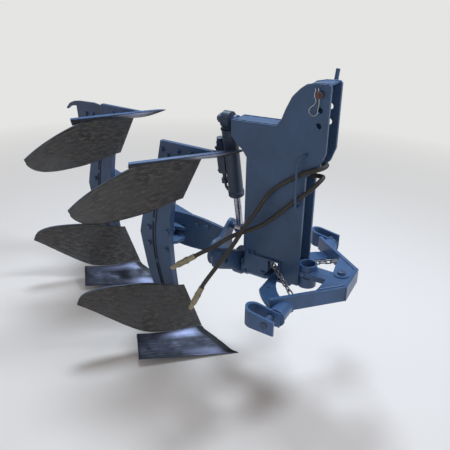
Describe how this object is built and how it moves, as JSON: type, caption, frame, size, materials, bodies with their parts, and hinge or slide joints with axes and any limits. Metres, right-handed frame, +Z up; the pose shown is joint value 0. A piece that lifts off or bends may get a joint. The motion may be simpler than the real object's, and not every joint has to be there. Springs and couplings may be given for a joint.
{
  "type": "moldboard plough",
  "caption": "Mounted reversible moldboard plough: tower headstock, turnover cylinder, swinging hitch frame, diagonal beam and curved legs with opposed bodies.",
  "frame": {"origin": "centre of the whole plough's floor area, at the height of the lower shares' edges on the floor", "axes": "+X forwards to the tractor and along the furrow, +Y to the left of travel, +Z up"},
  "size_m": [1.9202, 0.8862, 1.3649],
  "materials": {
    "frame_paint": "hand-brushed steel-blue gloss paint, scuffed at the edges",
    "dark_paint": "dark blue-grey paint",
    "worn_paint": "blue-grey paint worn by the furrow wall",
    "soil_steel": "dark steel with dried soil stains and scratches",
    "share_steel": "scoured steel with long scratches",
    "chrome_rod": "polished",
    "hose_rubber": "satin black-brown",
    "zinc": "dull yellow zinc",
    "plain_steel": "dull zinc grey"
  },
  "bodies": {
    "headstock": {"tower_plate_near": "frame_paint", "tower_plate_far": "frame_paint", "tower_strip": "frame_paint", "column_web": "dark_paint", "shaft_housing": "frame_paint", "tower_tongue": "frame_paint", "foot_socket": "frame_paint", "band_keeper": "frame_paint", "top_link_pin": "frame_paint", "hose_hook": "frame_paint", "hose_ports": "zinc", "cylinder_pin": "frame_paint", "retaining_chains": "plain_steel", "hose_a": "hose_rubber", "hose_b": "hose_rubber", "coupling_a": "zinc", "coupling_b": "zinc"},
    "hitch_frame": {"hitch_plates": "frame_paint", "hitch_arm_near": "frame_paint", "hitch_arm_far": "frame_paint", "swing_band": "frame_paint", "link_bracket_near": "frame_paint", "link_bracket_far": "frame_paint", "pivot_bolt": "frame_paint"},
    "cylinder": {"cylinder_barrel": "dark_paint", "reversing_valve": "dark_paint"},
    "rod": {"cylinder_rod": "chrome_rod", "crank_pin": "frame_paint"},
    "plough_frame": {"turnover_shaft": "frame_paint", "crank_plate": "frame_paint", "stop_arm": "frame_paint", "beam_side_plate": "frame_paint", "beam_flanges": "frame_paint", "main_beam": "frame_paint", "leg_front": "frame_paint", "leg_rear": "frame_paint", "leg_clamps": "frame_paint", "frog_front_lower": "frame_paint", "frog_front_upper": "frame_paint", "frog_rear_lower": "frame_paint", "frog_rear_upper": "frame_paint", "moldboard_front_lower": "soil_steel", "moldboard_front_upper": "soil_steel", "moldboard_rear_lower": "soil_steel", "moldboard_rear_upper": "soil_steel", "share_front_lower": "share_steel", "share_front_upper": "share_steel", "share_rear_lower": "share_steel", "share_rear_upper": "share_steel", "landside_front_lower": "worn_paint", "landside_front_upper": "worn_paint", "landside_rear_lower": "worn_paint", "landside_rear_upper": "worn_paint"}
  },
  "joints": [
    {"name": "turnover", "type": "hinge", "parent": "headstock", "child": "plough_frame", "pos_m": [0.43386, -0.00751, 0.505], "axis": [1, 0, 0], "range_deg": [0, 180]},
    {"name": "hitch_swing", "type": "hinge", "parent": "headstock", "child": "hitch_frame", "pos_m": [0.90186, -0.00751, 0.54], "axis": [0, 0, 1], "range_deg": [-17.2, 2.8]},
    {"name": "cylinder_swing", "type": "hinge", "parent": "headstock", "child": "cylinder", "pos_m": [0.34986, -0.01151, 1.125], "axis": [1, 0, 0], "range_deg": [-22.1, 0]},
    {"name": "rod_slide", "type": "slide", "parent": "cylinder", "child": "rod", "axis": [0, 0.2243, -0.9745], "range_m": [-0.0723, 0.1752]}
  ],
  "couplings": [
    {"joint": "cylinder_swing", "follows": "turnover", "ratio": -0.1227}
  ]
}
